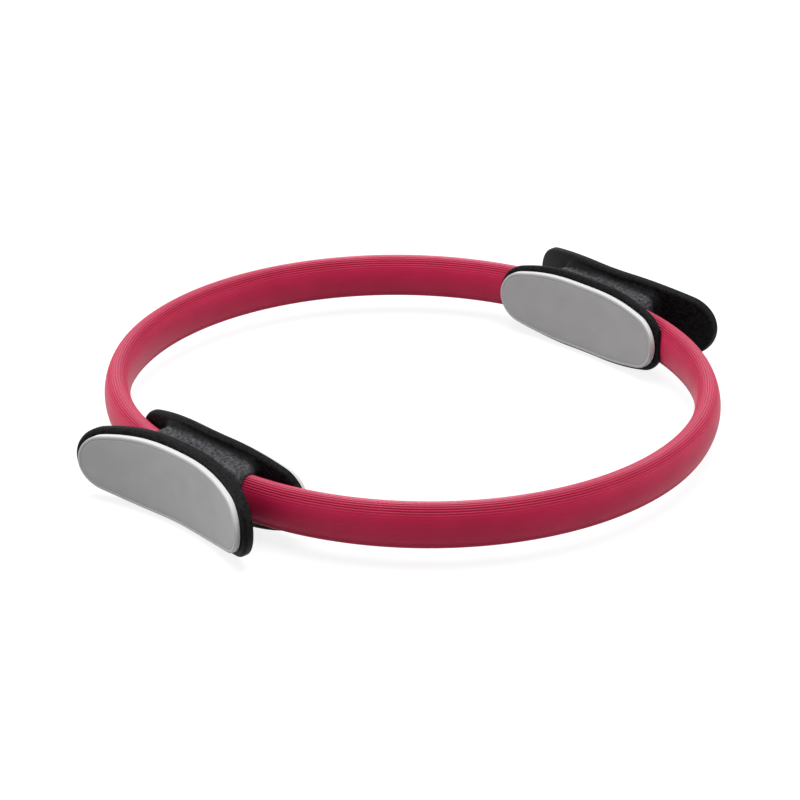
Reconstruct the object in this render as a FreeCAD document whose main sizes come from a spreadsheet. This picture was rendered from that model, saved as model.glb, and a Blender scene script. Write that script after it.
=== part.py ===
import FreeCAD, Part
import Sketcher
import os

# A pilates ring: a sprung glass-fibre hoop in a soft sleeve, with two padded spool handles.
# The hoop lies flat. Z is up, the handles stand at the two ends of Y, and the origin is the
# hoop's centre on the floor that the handles rest on. The handle at -Y is the front one.

SIZES = (
    # Hoop
    ("hoop_outer_width", 380),
    ("hoop_flat", 28),
    ("sleeve_thickness", 15.6),
    ("sleeve_height", 28),
    ("sleeve_crest_radius", 5.6),
    ("band_width", 18),
    ("band_thickness", 2.4),
    ("band_spacing", 0.2),
    ("band_joint_gap", 3),
    ("bore_clearance", 0.25),
    # Handle spool
    ("waist_length", 78),
    ("waist_wall", 4.2),
    ("waist_corner_radius", 6),
    ("waist_fillet", 4.8),
    ("finger_depth", 7.3),
    ("socket_depth", 12),
    ("socket_clearance", 0.3),
    ("channel_clearance", 0.3),
    # Flanges. The sleeve lies in a groove in the inner one, shallow at the waist and deeper at the ends
    ("outer_wall", 2.2),
    ("outer_wing", 34.7),
    ("outer_flare", 16.6),
    ("outer_flange_thickness", 6.8),
    ("outer_pad_end_margin", 5.4),
    ("outer_pad_side_margin", 3.5),
    ("inner_waist_groove", 0.8),
    ("inner_wing", 29.5),
    ("inner_end_groove", 3.4),
    ("inner_flange_thickness", 5.4),
    ("inner_pad_end_margin", 3.6),
    ("inner_pad_side_margin", 3.4),
    ("flange_edge_radius", 2.2),
    ("flange_flat_share", 0.19),
    ("flange_round_share", 0.8),
    # Foam pads on their adhesive films
    ("pad_thickness", 4.1),
    ("pad_edge_radius", 1.5),
    ("film_thickness", 0.3),
    ("film_clearance", 0.05),
    ("film_inset", 1.5),
    # Shell screws, driven from under the inner pad
    ("screw_spread_along", 32),
    ("screw_wall", 1.7),
    ("screw_diameter", 4),
    ("screw_length", 20),
    ("screw_tip_length", 3),
    ("screw_tip_diameter", 1.2),
    ("screw_head_diameter", 7.6),
    ("screw_head_height", 2.4),
    ("screw_head_edge_radius", 0.8),
    ("screw_sink", 0.4),
    ("screw_recess_width", 1),
    ("screw_recess_length", 4.2),
    ("screw_recess_depth", 1.4),
    ("screw_clearance", 0.2),
    ("screw_bottom_clearance", 1),
    ("screw_thread_clearance", 0.05),
    # Rivets that splice the two bands inside each handle
    ("rivet_spread", 20),
    ("rivet_diameter", 4),
    ("rivet_head_diameter", 7),
    ("rivet_head_height", 1.4),
    ("rivet_head_edge_radius", 0.6),
    ("rivet_hole_clearance", 0.1),
    ("rivet_pocket_clearance", 0.8),
    # Most of a wall that a rounded edge may take up, and of a finger channel that a root may
    ("round_limit_share", 0.45),
    ("root_limit_share", 0.96),
    # Length by which a cut runs past the piece it cuts
    ("overrun", 10),
)

doc = FreeCAD.newDocument("pilates_ring")
sizes = doc.addObject("Spreadsheet::Sheet", "sizes")
for row, (alias, number) in enumerate(SIZES, start=1):
    sizes.set(f"A{row}", alias)
    sizes.set(f"B{row}", str(number))
    sizes.setAlias(f"B{row}", alias)
doc.recompute()

# Sizes worked out from the sheet, as expressions. The hoop is two half rounds, joined by a flat run
# in each handle, and distances in a handle run along Y from the hoop's centre.
HOOP_RADIUS = "((sizes.hoop_outer_width - sizes.hoop_flat - sizes.sleeve_thickness) / 2)"
SLEEVE_INSIDE = f"({HOOP_RADIUS} - sizes.sleeve_thickness / 2)"
SLEEVE_CREST = "min(sizes.sleeve_crest_radius; sizes.sleeve_thickness * sizes.round_limit_share)"
BAND_INSIDE = f"({HOOP_RADIUS} - sizes.band_spacing / 2 - sizes.band_thickness)"
BAND_OUTSIDE = f"({HOOP_RADIUS} + sizes.band_spacing / 2 + sizes.band_thickness)"
WAIST_HEIGHT = "(sizes.sleeve_height + 2 * sizes.waist_wall)"
FLANGE_HEIGHT = f"({WAIST_HEIGHT} + 2 * sizes.finger_depth)"
SLEEVE_END = "(sizes.waist_length / 2 - sizes.socket_depth)"

# The outer flange bows away from the hoop, about an axis beyond the handle.
OUTER_LENGTH = "(sizes.waist_length + 2 * sizes.outer_wing)"
OUTER_BACK = f"({HOOP_RADIUS} + sizes.sleeve_thickness / 2 + sizes.outer_wall)"
OUTER_BACK_RADIUS = f"(({OUTER_LENGTH} / 2)^2 / (2 * sizes.outer_flare) + sizes.outer_flare / 2)"
OUTER_AXIS = f"({OUTER_BACK} + {OUTER_BACK_RADIUS})"
OUTER_FACE_RADIUS = f"({OUTER_BACK_RADIUS} - sizes.outer_flange_thickness)"
OUTER_PAD_LENGTH = f"({OUTER_LENGTH} - 2 * sizes.outer_pad_end_margin)"
OUTER_PAD_HEIGHT = f"({FLANGE_HEIGHT} - 2 * sizes.outer_pad_side_margin)"

# The inner flange bows a little towards the hoop's centre, and the sleeve lies in a groove in its ends.
INNER_LENGTH = "(sizes.waist_length + 2 * sizes.inner_wing)"
INNER_BACK = f"({SLEEVE_INSIDE} + sizes.inner_waist_groove)"
INNER_REACH = f"({INNER_LENGTH} / 2 - sizes.flange_edge_radius)"
INNER_ROUND_REACH = f"({INNER_REACH} - sizes.hoop_flat / 2)"
INNER_END = f"(sqrt({SLEEVE_INSIDE}^2 - {INNER_ROUND_REACH}^2) + sizes.inner_end_groove)"
INNER_SAG = f"({INNER_BACK} - {INNER_END})"
INNER_BACK_RADIUS = f"({INNER_REACH}^2 / (2 * {INNER_SAG}) + {INNER_SAG} / 2)"
INNER_AXIS = f"({INNER_BACK} - {INNER_BACK_RADIUS})"
INNER_FACE_RADIUS = f"({INNER_BACK_RADIUS} - sizes.inner_flange_thickness)"
INNER_PAD_LENGTH = f"({INNER_LENGTH} - 2 * sizes.inner_pad_end_margin)"
INNER_PAD_HEIGHT = f"({FLANGE_HEIGHT} - 2 * sizes.inner_pad_side_margin)"

# The two shells of a handle meet on a flat plane midway between the flanges.
PARTING = f"(({INNER_BACK} + {OUTER_BACK}) / 2)"
SCREW_SEAT = f"({INNER_BACK} - sizes.inner_flange_thickness + sizes.screw_head_height + sizes.screw_sink)"
SCREW_TIP = f"({SCREW_SEAT} + sizes.screw_length)"
SCREW_SPREAD_UP = (
    "(sizes.band_width + 2 * sizes.channel_clearance + 2 * sizes.screw_wall"
    " + sizes.screw_diameter + 2 * sizes.screw_clearance)"
)


def evaluate(size):
    """The number that an expression comes to."""
    found = sizes.evalExpression(size)
    return getattr(found, "Value", found)


def origin_plane(body, role):
    """One of a body's own origin planes."""
    return next(plane for plane in body.Origin.OriginFeatures if plane.Role == role)


def new_body(name):
    """An empty body, which may hold a group of like solids."""
    body = doc.addObject("PartDesign::Body", name)
    body.Label = name
    body.AllowCompound = True
    return body


def attach(feature, body, role, turn=None, **offsets):
    """Fix a sketch or primitive to an origin plane, moved along its axes or turned about Z."""
    feature.AttachmentSupport = [(origin_plane(body, role), "")]
    feature.MapMode = "FlatFace"
    if turn:
        feature.AttachmentOffset = FreeCAD.Placement(
            FreeCAD.Vector(), FreeCAD.Rotation(FreeCAD.Vector(0, 1, 0), evaluate(turn))
        )
        feature.setExpression("AttachmentOffset.Rotation.Angle", turn)
    for direction, distance in offsets.items():
        feature.setExpression(f"AttachmentOffset.Base.{direction}", distance)


def new_sketch(body, name, role, **where):
    """A sketch on one of the body's origin planes."""
    sketch = body.newObject("Sketcher::SketchObject", name)
    attach(sketch, body, role, **where)
    return sketch


def add_primitive(body, kind, name, lengths, **where):
    """A solid primitive on the plane of X and Z, which rises towards the hoop's centre."""
    feature = body.newObject(f"PartDesign::{kind}", name)
    for length, size in lengths.items():
        feature.setExpression(length, size)
    attach(feature, body, "XZ_Plane", **where)
    doc.recompute()
    return feature


def constrain(sketch, kind, *where, size=None):
    """Add a constraint, bound to an expression where it has a size."""
    if size is None:
        sketch.addConstraint(Sketcher.Constraint(kind, *where))
        return
    number = sketch.addConstraint(Sketcher.Constraint(kind, *where, evaluate(size)))
    sketch.setExpression(f"Constraints[{number}]", size)


def arc_between(center, start, end):
    """The counter-clockwise arc about a center from one point to another."""
    circle = Part.Circle(center, FreeCAD.Vector(0, 0, 1), start.distanceToPoint(center))
    return Part.ArcOfCircle(circle, circle.parameter(start), circle.parameter(end))


def add_closed_lines(sketch, corners):
    """Join corners by lines into a closed outline, and return the first line's number."""
    first = sketch.GeometryCount
    for start, end in zip(corners, corners[1:] + corners[:1]):
        sketch.addGeometry(Part.LineSegment(start, end), False)
    for index in range(len(corners)):
        following = (index + 1) % len(corners)
        constrain(sketch, "Coincident", first + index, 2, first + following, 1)
    return first


def add_section(sketch, left, right, height):
    """A rectangle from left to right, centred on the sketch's horizontal axis."""
    half = evaluate(height) / 2
    corners = [
        FreeCAD.Vector(evaluate(left), -half),
        FreeCAD.Vector(evaluate(right), -half),
        FreeCAD.Vector(evaluate(right), half),
        FreeCAD.Vector(evaluate(left), half),
    ]
    first = add_closed_lines(sketch, corners)
    constrain(sketch, "Horizontal", first)
    constrain(sketch, "Horizontal", first + 2)
    constrain(sketch, "Vertical", first + 1)
    constrain(sketch, "Symmetric", first, 1, first + 3, 1, -1)
    constrain(sketch, "DistanceX", -1, 1, first, 1, size=left)
    constrain(sketch, "DistanceX", -1, 1, first, 2, size=right)
    constrain(sketch, "DistanceY", first + 1, 1, first + 1, 2, size=height)


def add_oval_section(sketch, middle, thickness, height, crest):
    """An upright oval: two crests, joined by two flatter faces."""
    half = f"(({thickness}) / 2)"
    rise = f"(({height}) / 2 - ({crest}))"
    face = f"(({half}^2 - ({crest})^2 + {rise}^2) / (2 * ({half} - ({crest}))))"
    crest_size = evaluate(crest)
    face_size = evaluate(face)
    center = FreeCAD.Vector(evaluate(middle), 0)
    up = FreeCAD.Vector(0, evaluate(rise))
    across = FreeCAD.Vector(face_size - evaluate(half), 0)
    aim = (up + across).normalize() * crest_size
    corners = [
        center - up + FreeCAD.Vector(aim.x, -aim.y),
        center + up + aim,
        center + up + FreeCAD.Vector(-aim.x, aim.y),
        center - up - aim,
    ]
    arc_centers = [center - across, center + up, center + across, center - up]
    right, top, left, bottom = range(sketch.GeometryCount, sketch.GeometryCount + len(corners))
    for index, arc_center in enumerate(arc_centers):
        following = corners[(index + 1) % len(corners)]
        sketch.addGeometry(arc_between(arc_center, corners[index], following), False)
    for arc, following in ((right, top), (top, left), (left, bottom), (bottom, right)):
        constrain(sketch, "Tangent", arc, 2, following, 1)
    for arc in (top, bottom):
        constrain(sketch, "DistanceX", -1, 1, arc, 3, size=middle)
    constrain(sketch, "DistanceY", -1, 1, top, 3, size=rise)
    constrain(sketch, "DistanceY", bottom, 3, -1, 1, size=rise)
    constrain(sketch, "Radius", top, size=crest)
    constrain(sketch, "Equal", top, bottom)
    constrain(sketch, "Radius", right, size=face)
    constrain(sketch, "Equal", right, left)


def add_rectangle(sketch, length, height):
    """A rectangle centred on the sketch's origin."""
    across = evaluate(length) / 2
    up = evaluate(height) / 2
    corners = [
        FreeCAD.Vector(-across, -up),
        FreeCAD.Vector(across, -up),
        FreeCAD.Vector(across, up),
        FreeCAD.Vector(-across, up),
    ]
    first = add_closed_lines(sketch, corners)
    for index in (0, 2):
        constrain(sketch, "Horizontal", first + index)
        constrain(sketch, "Vertical", first + index + 1)
    constrain(sketch, "Symmetric", first, 1, first + 2, 1, -1, 1)
    constrain(sketch, "DistanceX", first, 1, first, 2, size=length)
    constrain(sketch, "DistanceY", first + 1, 1, first + 1, 2, size=height)


def add_oval(sketch, length, height):
    """A long oval: a short flat above and below, round ends, and shoulders between them."""
    flat = f"(({length}) * sizes.flange_flat_share)"
    end_radius = f"(({height}) / 2 * sizes.flange_round_share)"
    end_center = f"(({length}) / 2 - {end_radius})"
    flat_half = evaluate(flat) / 2
    up = evaluate(height) / 2
    end_size = evaluate(end_radius)
    end_x = evaluate(end_center)
    run = end_x - flat_half
    shoulder = (run ** 2 + up ** 2 - end_size ** 2) / (2 * (up - end_size))

    # Corner points of the right half, from the bottom flat round to the top one.
    low_center = FreeCAD.Vector(flat_half, shoulder - up)
    right_center = FreeCAD.Vector(end_x, 0)
    aim = (right_center - low_center).normalize()
    low_start = FreeCAD.Vector(flat_half, -up)
    low_end = right_center + aim * end_size

    def flipped(point, across, over):
        return FreeCAD.Vector(point.x * across, point.y * over)

    first = sketch.GeometryCount
    pieces = [
        Part.LineSegment(flipped(low_start, -1, 1), low_start),
        arc_between(low_center, low_start, low_end),
        arc_between(right_center, low_end, flipped(low_end, 1, -1)),
        arc_between(flipped(low_center, 1, -1), flipped(low_end, 1, -1), flipped(low_start, 1, -1)),
        Part.LineSegment(flipped(low_start, 1, -1), flipped(low_start, -1, -1)),
        arc_between(flipped(low_center, -1, -1), flipped(low_start, -1, -1), flipped(low_end, -1, -1)),
        arc_between(flipped(right_center, -1, 1), flipped(low_end, -1, -1), flipped(low_end, -1, 1)),
        arc_between(flipped(low_center, -1, 1), flipped(low_end, -1, 1), flipped(low_start, -1, 1)),
    ]
    for piece in pieces:
        sketch.addGeometry(piece, False)
    for index in range(len(pieces)):
        following = (index + 1) % len(pieces)
        constrain(sketch, "Tangent", first + index, 2, first + following, 1)
    bottom, right_end, top, left_end = first, first + 2, first + 4, first + 6
    for line in (bottom, top):
        constrain(sketch, "Symmetric", line, 1, line, 2, -2)
    constrain(sketch, "DistanceX", bottom, 1, bottom, 2, size=flat)
    constrain(sketch, "DistanceX", top, 2, top, 1, size=flat)
    constrain(sketch, "DistanceY", bottom, 1, -1, 1, size=f"({height}) / 2")
    constrain(sketch, "DistanceY", -1, 1, top, 1, size=f"({height}) / 2")
    for end in (right_end, left_end):
        constrain(sketch, "PointOnObject", end, 3, -1)
        constrain(sketch, "Radius", end, size=end_radius)
    constrain(sketch, "DistanceX", -1, 1, right_end, 3, size=end_center)
    constrain(sketch, "DistanceX", left_end, 3, -1, 1, size=end_center)


def add_bowed_strip(sketch, axis, inside, outside, width, bows_out):
    """A strip between two arcs about a point on the Y axis, cut square at both ends.

    A strip that bows out lies on the near side of that point, seen from the hoop's centre.
    """
    center = FreeCAD.Vector(0, evaluate(axis))
    half = evaluate(width) / 2
    side = -1 if bows_out else 1

    def on_arc(radius, across):
        depth = (evaluate(radius) ** 2 - half ** 2) ** 0.5
        return center + FreeCAD.Vector(across * half, side * depth)

    first = sketch.GeometryCount
    for radius in (inside, outside):
        sketch.addGeometry(arc_between(center, on_arc(radius, side), on_arc(radius, -side)), False)
    for end in (1, 2):
        across = side if end == 1 else -side
        sketch.addGeometry(Part.LineSegment(on_arc(inside, across), on_arc(outside, across)), False)
        line = sketch.GeometryCount - 1
        constrain(sketch, "Coincident", line, 1, first, end)
        constrain(sketch, "Coincident", line, 2, first + 1, end)
        constrain(sketch, "Vertical", line)
    constrain(sketch, "Coincident", first, 3, first + 1, 3)
    constrain(sketch, "PointOnObject", first, 3, -2)
    if evaluate(axis) > 0:
        constrain(sketch, "DistanceY", -1, 1, first, 3, size=axis)
    else:
        constrain(sketch, "DistanceY", first, 3, -1, 1, size=f"-({axis})")
    constrain(sketch, "Radius", first, size=inside)
    constrain(sketch, "Radius", first + 1, size=outside)
    left, right = (1, 2) if side < 0 else (2, 1)
    constrain(sketch, "DistanceX", first, left, -1, 1, size=f"({width}) / 2")
    constrain(sketch, "DistanceX", -1, 1, first, right, size=f"({width}) / 2")


def add_hoop_outline(sketch, radius):
    """The hoop's shape in plan: two half circles and the two flat runs between them."""
    size = evaluate(radius)
    flat = FreeCAD.Vector(evaluate("sizes.hoop_flat / 2"), 0)
    up = FreeCAD.Vector(0, size)
    right, top, left, bottom = range(sketch.GeometryCount, sketch.GeometryCount + 4)
    sketch.addGeometry(arc_between(flat, flat - up, flat + up), False)
    sketch.addGeometry(Part.LineSegment(flat + up, up - flat), False)
    sketch.addGeometry(arc_between(-flat, up - flat, -up - flat), False)
    sketch.addGeometry(Part.LineSegment(-up - flat, flat - up), False)
    for edge, following in ((right, top), (top, left), (left, bottom), (bottom, right)):
        constrain(sketch, "Tangent", edge, 2, following, 1)
    for arc in (right, left):
        constrain(sketch, "PointOnObject", arc, 3, -1)
    constrain(sketch, "DistanceX", -1, 1, right, 3, size="sizes.hoop_flat / 2")
    constrain(sketch, "DistanceX", left, 3, -1, 1, size="sizes.hoop_flat / 2")
    constrain(sketch, "Radius", right, size=radius)
    constrain(sketch, "Equal", right, left)


def add_circle_pair(sketch, spread, diameter):
    """Two like circles, either side of the vertical axis."""
    first = sketch.GeometryCount
    half = evaluate(spread) / 2
    for x in (half, -half):
        circle = Part.Circle(FreeCAD.Vector(x, 0), FreeCAD.Vector(0, 0, 1), evaluate(diameter) / 2)
        sketch.addGeometry(circle, False)
    constrain(sketch, "Symmetric", first, 3, first + 1, 3, -2)
    constrain(sketch, "PointOnObject", first, 3, -1)
    constrain(sketch, "DistanceX", first + 1, 3, first, 3, size=spread)
    constrain(sketch, "Equal", first, first + 1)
    constrain(sketch, "Diameter", first, size=diameter)


def add_circle_four(sketch, spread_along, spread_up, diameter):
    """Four like circles at the corners of a rectangle centred on the origin."""
    first = sketch.GeometryCount
    along = evaluate(spread_along) / 2
    up = evaluate(spread_up) / 2
    for x, y in ((along, up), (-along, up), (-along, -up), (along, -up)):
        circle = Part.Circle(FreeCAD.Vector(x, y), FreeCAD.Vector(0, 0, 1), evaluate(diameter) / 2)
        sketch.addGeometry(circle, False)
    constrain(sketch, "Symmetric", first, 3, first + 1, 3, -2)
    constrain(sketch, "Symmetric", first + 3, 3, first + 2, 3, -2)
    constrain(sketch, "Symmetric", first, 3, first + 3, 3, -1)
    constrain(sketch, "DistanceX", first + 1, 3, first, 3, size=spread_along)
    constrain(sketch, "DistanceY", first + 3, 3, first, 3, size=spread_up)
    for index in (1, 2, 3):
        constrain(sketch, "Equal", first, first + index)
    constrain(sketch, "Diameter", first, size=diameter)


def extrude(body, kind, sketch, length=None, symmetric=False, reverse=False):
    """Pad or pocket a sketch by a length, or right through where there is none."""
    feature = body.newObject(f"PartDesign::{kind}", f"{sketch.Name}_{kind.lower()}")
    feature.Profile = sketch
    feature.Midplane = symmetric
    feature.Reversed = reverse
    if length:
        feature.setExpression("Length", length)
    else:
        feature.Type = "ThroughAll"
    doc.recompute()
    return feature


def revolve(body, kind, sketch, angle, symmetric=True, reverse=False):
    """Turn a sketch about its vertical axis, as a solid or as a groove."""
    feature = body.newObject(f"PartDesign::{kind}", f"{sketch.Name}_{kind.lower()}")
    feature.Profile = sketch
    feature.ReferenceAxis = (sketch, ["V_Axis"])
    feature.Midplane = symmetric
    feature.Reversed = reverse
    feature.setExpression("Angle", angle)
    doc.recompute()
    return feature


def mirror(body, name, role, originals=None):
    """Repeat features, or the whole piece, on the far side of one of the body's origin planes."""
    feature = body.newObject("PartDesign::Mirrored", name)
    if originals:
        feature.Originals = originals
    else:
        feature.TransformMode = "Whole shape"
    feature.MirrorPlane = (origin_plane(body, role), [""])
    body.Tip = feature
    doc.recompute()
    return feature


def round_edges(body, name, radius, is_wanted):
    """Fillet those edges of the body that a test picks out."""
    base = body.Tip
    names = [
        f"Edge{number}"
        for number, edge in enumerate(base.Shape.Edges, start=1)
        if is_wanted(edge)
    ]
    feature = body.newObject("PartDesign::Fillet", name)
    feature.Base = (base, names)
    feature.setExpression("Radius", radius)
    doc.recompute()
    return feature


def edge_points(edge, count=7):
    """Points spread evenly along an edge."""
    return edge.discretize(count)


def place(body, turned=False):
    """Lift a body so that the handles stand on the floor, turned to the front handle if asked."""
    angle = 180 if turned else 0
    body.Placement = FreeCAD.Placement(
        FreeCAD.Vector(), FreeCAD.Rotation(FreeCAD.Vector(0, 0, 1), angle)
    )
    body.setExpression("Placement.Base.z", f"{FLANGE_HEIGHT} / 2")


# The hoop's two bands. Each is an open ring whose ends meet inside one handle, the outer band's
# in the front one and the inner band's in the rear one, so that each band splices the other.
def make_band(name, inside, turned):
    body = new_body(name)
    outside = f"{inside} + sizes.band_thickness"
    plan = new_sketch(body, f"{name}_plan", "XY_Plane")
    add_hoop_outline(plan, inside)
    add_hoop_outline(plan, outside)
    extrude(body, "Pad", plan, "sizes.band_width", symmetric=True)
    holes = new_sketch(body, f"{name}_holes", "XZ_Plane")
    add_circle_pair(holes, "sizes.rivet_spread", "sizes.rivet_diameter + 2 * sizes.rivet_hole_clearance")
    extrude(body, "Pocket", holes, symmetric=True)
    joint = new_sketch(body, f"{name}_joint", "YZ_Plane")
    joint_height = "sizes.band_width + 2 * sizes.overrun"
    add_section(joint, f"{inside} - sizes.overrun", f"{outside} + sizes.overrun", joint_height)
    extrude(body, "Pocket", joint, "sizes.band_joint_gap", symmetric=True)
    place(body, turned)
    return body


# The soft sleeve: one length on each side, from socket to socket, round both bands.
def make_sleeve(name, turned):
    body = new_body(name)
    section = new_sketch(body, f"{name}_section", "XZ_Plane", x="sizes.hoop_flat / 2")
    add_oval_section(section, HOOP_RADIUS, "sizes.sleeve_thickness", "sizes.sleeve_height", SLEEVE_CREST)
    end_angle = f"asin(({SLEEVE_END} + sizes.socket_clearance - sizes.hoop_flat / 2) / {HOOP_RADIUS})"
    revolve(body, "Revolution", section, f"180 deg - 2 * {end_angle}")
    bore = new_sketch(body, f"{name}_bore", "XZ_Plane", x="sizes.hoop_flat / 2")
    add_section(
        bore,
        f"{BAND_INSIDE} - sizes.bore_clearance",
        f"{BAND_OUTSIDE} + sizes.bore_clearance",
        "sizes.band_width + 2 * sizes.bore_clearance",
    )
    revolve(body, "Groove", bore, "180 deg")
    place(body, turned)
    return body


# A plate of even thickness, bowed in plan and cut to a long oval as seen along Y.
def add_bowed_plate(body, name, axis, inside, outside, length, height, bows_out):
    plan = new_sketch(body, f"{name}_plan", "XY_Plane")
    add_bowed_strip(plan, axis, inside, outside, f"{length} + sizes.overrun", bows_out)
    extrude(body, "Pad", plan, f"{height} + sizes.overrun", symmetric=True)
    outline = new_sketch(body, f"{name}_outline", "XZ_Plane")
    add_rectangle(outline, f"{length} + 4 * sizes.overrun", f"{height} + 4 * sizes.overrun")
    add_oval(outline, length, height)
    extrude(body, "Pocket", outline, symmetric=True)


def on_bow(axis, radius, within=None):
    """A test for edges on a bowed face, and, if asked, inside a rectangle seen along Y."""
    center = FreeCAD.Vector(0, evaluate(axis), 0)
    size = evaluate(radius)
    tolerance = evaluate("sizes.socket_clearance") / 10

    def test(edge):
        for point in edge_points(edge):
            flat = FreeCAD.Vector(point.x, point.y, 0)
            if abs(flat.distanceToPoint(center) - size) > tolerance:
                return False
            if within:
                reach_x, reach_z = (evaluate(side) / 2 + tolerance for side in within)
                if abs(point.x) > reach_x or abs(point.z) > reach_z:
                    return False
        return True

    return test


# One shell of a handle: a flange, half of the waist, the bands' channel and the sleeves' sockets.
def make_shell(name, outer, turned):
    body = new_body(name)
    if outer:
        axis, inside, outside = OUTER_AXIS, OUTER_FACE_RADIUS, OUTER_BACK_RADIUS
        length, back = OUTER_LENGTH, OUTER_BACK
        thickness = "sizes.outer_flange_thickness"
    else:
        axis, inside, outside = INNER_AXIS, INNER_FACE_RADIUS, INNER_BACK_RADIUS
        length, back = INNER_LENGTH, INNER_BACK
        thickness = "sizes.inner_flange_thickness"
    add_bowed_plate(body, f"{name}_flange", axis, inside, outside, length, FLANGE_HEIGHT, outer)
    rim_radius = f"min(sizes.flange_edge_radius; {thickness} * sizes.round_limit_share)"
    is_face_edge = on_bow(axis, inside)
    is_back_edge = on_bow(axis, outside)
    round_edges(
        body,
        f"{name}_rim",
        rim_radius,
        lambda edge: is_face_edge(edge) or is_back_edge(edge),
    )

    # Half of the waist, from the parting plane into the flange.
    waist = new_sketch(body, f"{name}_waist", "XZ_Plane", z=f"-{PARTING}")
    add_rectangle(waist, "sizes.waist_length", WAIST_HEIGHT)
    bow = f"({outside} - sqrt({outside}^2 - (sizes.waist_length / 2)^2))"
    depth = f"abs({back} - {PARTING}) + ({bow} + {thickness}) / 2"
    extrude(body, "Pad", waist, depth, reverse=outer)
    corner = evaluate("sizes.waist_length") / 2
    height = evaluate(WAIST_HEIGHT) / 2
    tolerance = evaluate("sizes.socket_clearance") / 10
    round_edges(
        body,
        f"{name}_waist_corners",
        "sizes.waist_corner_radius",
        lambda edge: all(
            abs(abs(point.x) - corner) < tolerance and abs(abs(point.z) - height) < tolerance
            for point in edge_points(edge)
        ),
    )
    root_limit = f"(sizes.finger_depth - {rim_radius}) * sizes.root_limit_share"
    round_edges(
        body,
        f"{name}_waist_root",
        f"min(sizes.waist_fillet; {root_limit})",
        on_bow(axis, outside, ("sizes.waist_length", WAIST_HEIGHT)),
    )

    # The channel that holds both bands.
    channel = new_sketch(body, f"{name}_channel", "XY_Plane")
    add_hoop_outline(channel, f"{BAND_INSIDE} - sizes.channel_clearance")
    add_hoop_outline(channel, f"{BAND_OUTSIDE} + sizes.channel_clearance")
    extrude(body, "Pocket", channel, "sizes.band_width + 2 * sizes.channel_clearance", symmetric=True)

    # A socket for a sleeve's end at each end of the waist, and on from it the groove in the inner flange.
    start = f"-asin(({SLEEVE_END} - sizes.hoop_flat / 2) / {HOOP_RADIUS})"
    socket = new_sketch(body, f"{name}_socket", "YZ_Plane", turn=start, z="sizes.hoop_flat / 2")
    add_oval_section(
        socket,
        HOOP_RADIUS,
        "sizes.sleeve_thickness + 2 * sizes.socket_clearance",
        "sizes.sleeve_height + 2 * sizes.socket_clearance",
        f"{SLEEVE_CREST} + sizes.socket_clearance",
    )
    mouth = f"({length} / 2 - sizes.hoop_flat / 2 + sizes.overrun)"
    reach = f"asin({mouth} / {HOOP_RADIUS}) + {start}"
    groove = revolve(body, "Groove", socket, reach, symmetric=False, reverse=True)
    mirror(body, f"{name}_sockets", "YZ_Plane", [groove])

    # Round pockets off the channel, in which the rivets' heads stand.
    head_room = "(sizes.rivet_head_height + sizes.rivet_pocket_clearance)"
    rivet_end = f"({BAND_OUTSIDE} + {head_room})" if outer else f"({BAND_INSIDE} - {head_room})"
    pockets = new_sketch(body, f"{name}_rivet_pockets", "XZ_Plane", z=f"-{PARTING}")
    pocket_diameter = "sizes.rivet_head_diameter + 2 * sizes.rivet_pocket_clearance"
    add_circle_pair(pockets, "sizes.rivet_spread", pocket_diameter)
    extrude(body, "Pocket", pockets, f"abs({rivet_end} - {PARTING})", reverse=not outer)

    # Blind screw holes in the outer shell, and clear ones with sunk seats in the inner shell.
    if outer:
        hole_diameter = "sizes.screw_diameter + 2 * sizes.screw_thread_clearance"
        hole_depth = f"{SCREW_TIP} - {PARTING} + sizes.screw_bottom_clearance"
        add_screw_holes(body, f"{name}_screw_holes", PARTING, hole_diameter, hole_depth)
    else:
        hole_diameter = "sizes.screw_diameter + 2 * sizes.screw_clearance"
        add_screw_holes(body, f"{name}_screw_holes", PARTING, hole_diameter)
        seat_diameter = "sizes.screw_head_diameter + 2 * sizes.screw_clearance"
        add_screw_holes(body, f"{name}_screw_seats", SCREW_SEAT, seat_diameter)
    place(body, turned)
    return body


def add_screw_holes(body, name, start, diameter, depth=None):
    """Four holes from a plane across Y: away from the hoop's centre by a depth, or else towards it."""
    sketch = new_sketch(body, name, "XZ_Plane", z=f"-{start}")
    add_circle_four(sketch, "sizes.screw_spread_along", SCREW_SPREAD_UP, diameter)
    extrude(body, "Pocket", sketch, depth, reverse=depth is None)


# A layer on a flange's bowed face: its film of adhesive, or its foam pad on top of that.
def make_layer(name, outer, is_pad, turned):
    body = new_body(name)
    axis, face = (OUTER_AXIS, OUTER_FACE_RADIUS) if outer else (INNER_AXIS, INNER_FACE_RADIUS)
    length = OUTER_PAD_LENGTH if outer else INNER_PAD_LENGTH
    height = OUTER_PAD_HEIGHT if outer else INNER_PAD_HEIGHT
    if is_pad:
        back = f"({face} - sizes.film_thickness - 2 * sizes.film_clearance)"
        front = f"({back} - sizes.pad_thickness)"
    else:
        back = f"({face} - sizes.film_clearance)"
        front = f"({back} - sizes.film_thickness)"
        length = f"({length} - 2 * sizes.film_inset)"
        height = f"({height} - 2 * sizes.film_inset)"
    add_bowed_plate(body, name, axis, front, back, length, height, outer)
    if is_pad:
        radius = "min(sizes.pad_edge_radius; sizes.pad_thickness * sizes.round_limit_share)"
        round_edges(body, f"{name}_edge", radius, on_bow(axis, front))
    place(body, turned)
    return body


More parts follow.
